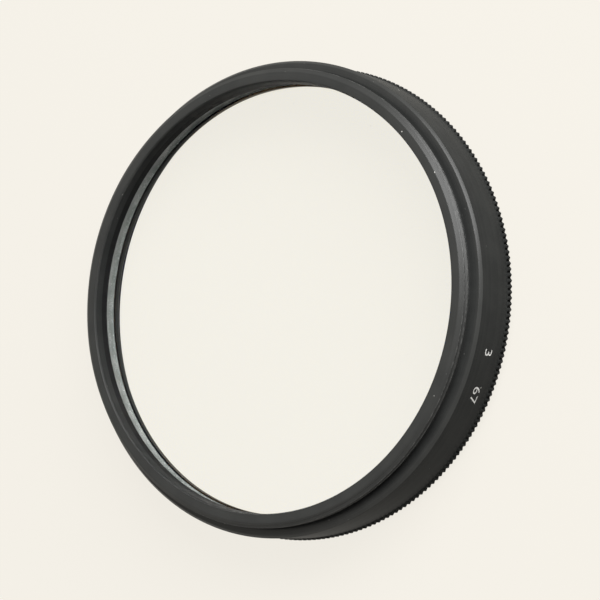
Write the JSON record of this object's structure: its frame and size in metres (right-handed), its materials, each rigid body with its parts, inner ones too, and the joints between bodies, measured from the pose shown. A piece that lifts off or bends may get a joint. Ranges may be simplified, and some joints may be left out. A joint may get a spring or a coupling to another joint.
{
  "type": "close-up filter",
  "caption": "Screw-in close-up filter: a slim knurled black ring, threaded at both ends, around a thick cemented lens.",
  "frame": {"origin": "on the optical axis, in the plane of the front rim that it lies on", "axes": "+Z along the optical axis from the knurled front rim to the rear thread; +X towards one spanner slot of the retaining ring"},
  "size_m": [0.0704, 0.0704, 0.012],
  "materials": {
    "anodised_ring": "satin black anodised",
    "crown_glass": "polished and coated",
    "flint_glass": "polished and coated, ground edge",
    "anodised_retainer": "matt black anodised"
  },
  "bodies": {
    "root": {"frame_ring": "anodised_ring", "front_lens": "crown_glass", "rear_lens": "flint_glass", "retaining_ring": "anodised_retainer"}
  },
  "joints": []
}
